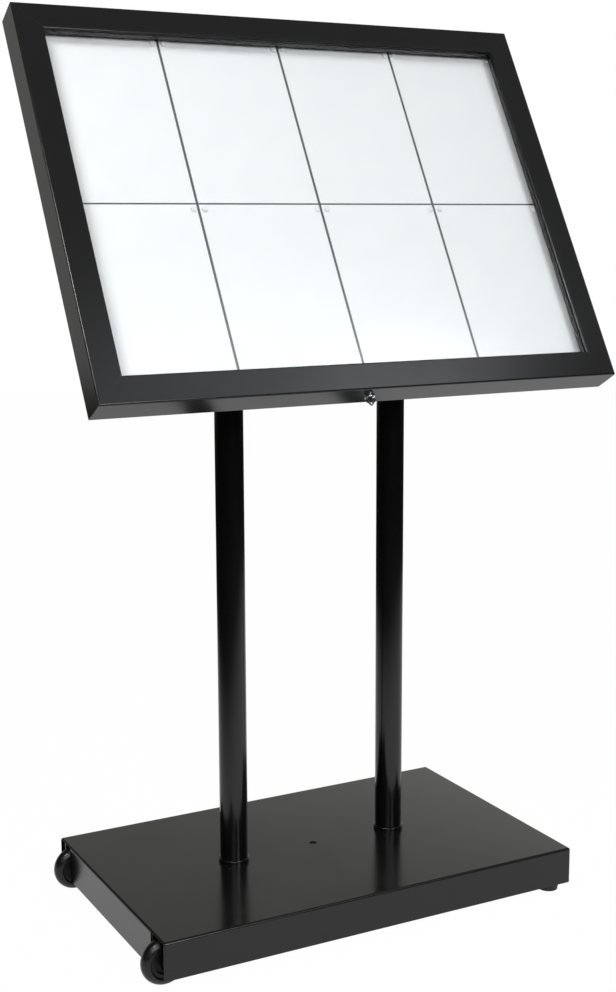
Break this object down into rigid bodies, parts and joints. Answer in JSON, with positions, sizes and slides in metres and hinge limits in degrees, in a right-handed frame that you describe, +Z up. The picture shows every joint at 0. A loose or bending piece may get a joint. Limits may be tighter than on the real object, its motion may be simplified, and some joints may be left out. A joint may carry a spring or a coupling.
{
  "type": "information display case",
  "caption": "Lockable information display case with a clear top-hinged lid, leaned back on round posts above a weighted sheet-steel base with wheels at one end.",
  "frame": {"origin": "on the floor, under the middle of the base", "axes": "+Z up, +X to the right as a reader sees the case, +Y away from the reader"},
  "size_m": [0.91, 0.466, 1.4781],
  "materials": {
    "black_powder_coat": "satin",
    "black_gloss_paint": "semi-gloss",
    "raw_steel": "mill finish",
    "zinc_steel": "zinc plated",
    "grey_board": "matte",
    "white_paper": "matte",
    "clear_plastic": "clear",
    "clear_acrylic": "clear",
    "black_rubber": "matte",
    "black_tyre": "matte",
    "black_plastic": "matte",
    "bright_chrome": "polished"
  },
  "bodies": {
    "stand": {"base_cover": "black_powder_coat", "ballast_plate": "raw_steel", "foot_channel": "black_powder_coat", "foot_front": "black_rubber", "foot_rear": "black_rubber", "foot_screws": "zinc_steel", "wheel_fork_front": "black_powder_coat", "wheel_fork_rear": "black_powder_coat", "axle_bolts": "zinc_steel", "axle_nuts": "zinc_steel", "post_left": "black_gloss_paint", "post_right": "black_gloss_paint", "post_collar_left": "black_gloss_paint", "post_collar_right": "black_gloss_paint", "post_plugs": "raw_steel", "post_bolts": "zinc_steel", "head_plate_left": "black_powder_coat", "head_plate_right": "black_powder_coat", "head_bolts": "zinc_steel", "head_nuts": "zinc_steel", "back_panel": "black_powder_coat", "tray_wall_bottom": "black_powder_coat", "tray_wall_top": "black_powder_coat", "tray_wall_left": "black_powder_coat", "tray_wall_right": "black_powder_coat", "magnet_board": "grey_board", "board_standoffs": "zinc_steel", "pages_upper": "white_paper", "pages_lower": "white_paper", "page_magnets": "clear_plastic", "hinge_case_leaves": "zinc_steel", "hinge_pins": "zinc_steel", "hinge_case_rivets": "zinc_steel", "stay_studs": "zinc_steel", "lock_keeper": "zinc_steel"},
    "lid": {"rail_bottom": "black_powder_coat", "rail_top": "black_powder_coat", "rail_left": "black_powder_coat", "rail_right": "black_powder_coat", "corner_cleats": "black_powder_coat", "window_pane": "clear_acrylic", "pane_gasket": "black_rubber", "pane_clips": "zinc_steel", "hinge_lid_leaves": "zinc_steel", "hinge_lid_rivets": "zinc_steel", "stay_track_left": "zinc_steel", "stay_track_right": "zinc_steel", "lock_body": "bright_chrome", "lock_nut": "zinc_steel"},
    "lock_cylinder": {"lock_plug": "bright_chrome", "lock_cam": "zinc_steel", "lock_cam_screw": "zinc_steel"},
    "key": {"key": "bright_chrome"},
    "stay_left": {"stay_arm_left": "zinc_steel"},
    "stay_right": {"stay_arm_right": "zinc_steel"},
    "wheel_front": {"wheel_tyre_front": "black_tyre", "wheel_hub_front": "black_plastic"},
    "wheel_rear": {"wheel_tyre_rear": "black_tyre", "wheel_hub_rear": "black_plastic"}
  },
  "joints": [
    {"name": "lid_hinge", "type": "hinge", "parent": "stand", "child": "lid", "pos_m": [0, 0.16226, 1.45458], "axis": [-1, 0, 0], "range_deg": [0, 65]},
    {"name": "stay_left_pivot", "type": "hinge", "parent": "stand", "child": "stay_left", "pos_m": [-0.446, 0.05706, 1.29637], "axis": [-1, 0, 0], "range_deg": [0, 130]},
    {"name": "stay_right_pivot", "type": "hinge", "parent": "stand", "child": "stay_right", "pos_m": [0.446, 0.05706, 1.29637], "axis": [-1, 0, 0], "range_deg": [0, 130]},
    {"name": "lock_turn", "type": "hinge", "parent": "lid", "child": "lock_cylinder", "pos_m": [-0.004, -0.19689, 0.88252], "axis": [0, -0.5, -0.866], "range_deg": [0, 90]},
    {"name": "key_pull", "type": "slide", "parent": "lock_cylinder", "child": "key", "axis": [0, -0.5, -0.866], "range_m": [0, 0.03]},
    {"name": "wheel_front_spin", "type": "hinge", "parent": "stand", "child": "wheel_front", "pos_m": [-0.3665, -0.199, 0.0375], "axis": [0, 1, 0], "continuous": true},
    {"name": "wheel_rear_spin", "type": "hinge", "parent": "stand", "child": "wheel_rear", "pos_m": [-0.3665, 0.199, 0.0375], "axis": [0, 1, 0], "continuous": true}
  ],
  "couplings": [
    {"joint": "stay_left_pivot", "follows": "lid_hinge", "ratio": 2},
    {"joint": "stay_right_pivot", "follows": "lid_hinge", "ratio": 2}
  ]
}
